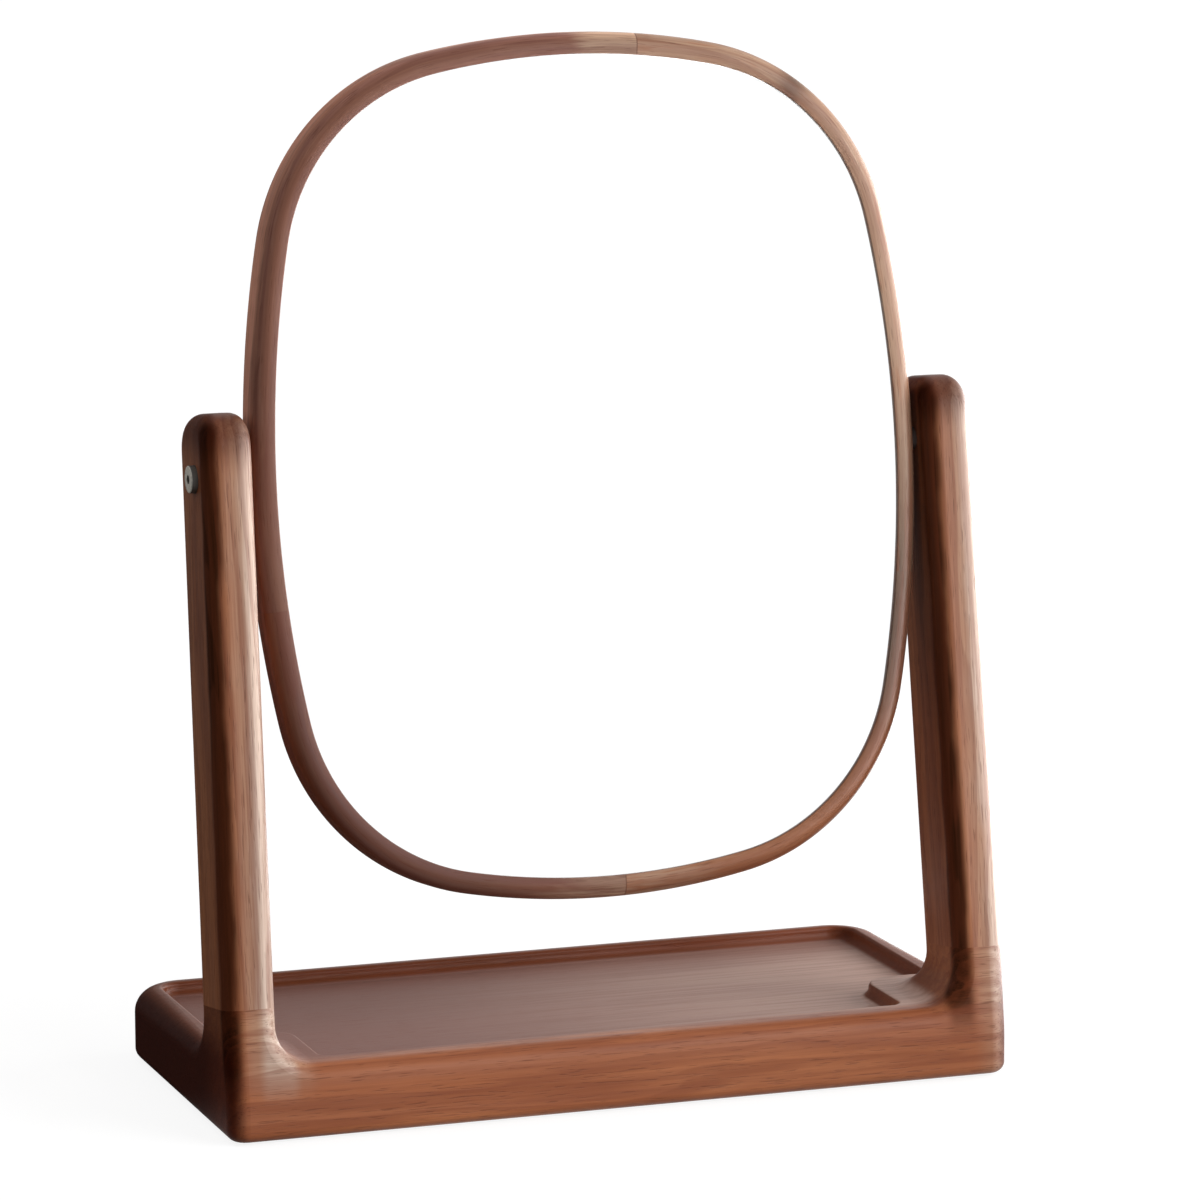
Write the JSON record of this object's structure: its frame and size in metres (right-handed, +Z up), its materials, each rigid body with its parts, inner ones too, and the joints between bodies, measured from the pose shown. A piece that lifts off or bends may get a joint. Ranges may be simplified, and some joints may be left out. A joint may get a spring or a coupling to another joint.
{
  "type": "vanity mirror",
  "caption": "Tabletop vanity mirror: rounded-oval mirror in a thin wooden frame that tilts between two leaning posts on a shallow wooden tray base.",
  "frame": {"origin": "on the table plane, under the middle of the base's outline", "axes": "+X to the viewer's right along the base, +Y to the back, +Z up; the mirror faces -Y"},
  "size_m": [0.3, 0.149, 0.3872],
  "materials": {
    "walnut": "satin oiled walnut",
    "dowel_wood": "plain beech",
    "felt": "pressed felt",
    "mirror": "silvered glass",
    "foam": "closed-cell foam",
    "board": "dark stained board",
    "steel": "satin",
    "nylon": "moulded",
    "brass": "turned"
  },
  "bodies": {
    "stand": {"base_tray": "walnut", "left_post": "walnut", "right_post": "walnut", "left_post_dowels": "dowel_wood", "right_post_dowels": "dowel_wood", "front_left_foot_pad": "felt", "front_right_foot_pad": "felt", "rear_left_foot_pad": "felt", "rear_right_foot_pad": "felt", "left_post_bush": "nylon", "right_post_bush": "nylon"},
    "mirror": {"frame_upper_left": "walnut", "frame_upper_right": "walnut", "frame_lower_left": "walnut", "frame_lower_right": "walnut", "frame_joint_dowels": "dowel_wood", "mirror_glass": "mirror", "glass_backing_foam": "foam", "back_board": "board", "retaining_points": "steel", "left_pivot_bolt": "steel", "left_head_washer": "steel", "left_friction_washer": "nylon", "left_threaded_insert": "brass", "right_pivot_bolt": "steel", "right_head_washer": "steel", "right_friction_washer": "nylon", "right_threaded_insert": "brass"}
  },
  "joints": [
    {"name": "mirror_tilt", "type": "hinge", "parent": "stand", "child": "mirror", "pos_m": [0, -0.02698, 0.2339], "axis": [1, 0, 0], "continuous": true}
  ]
}
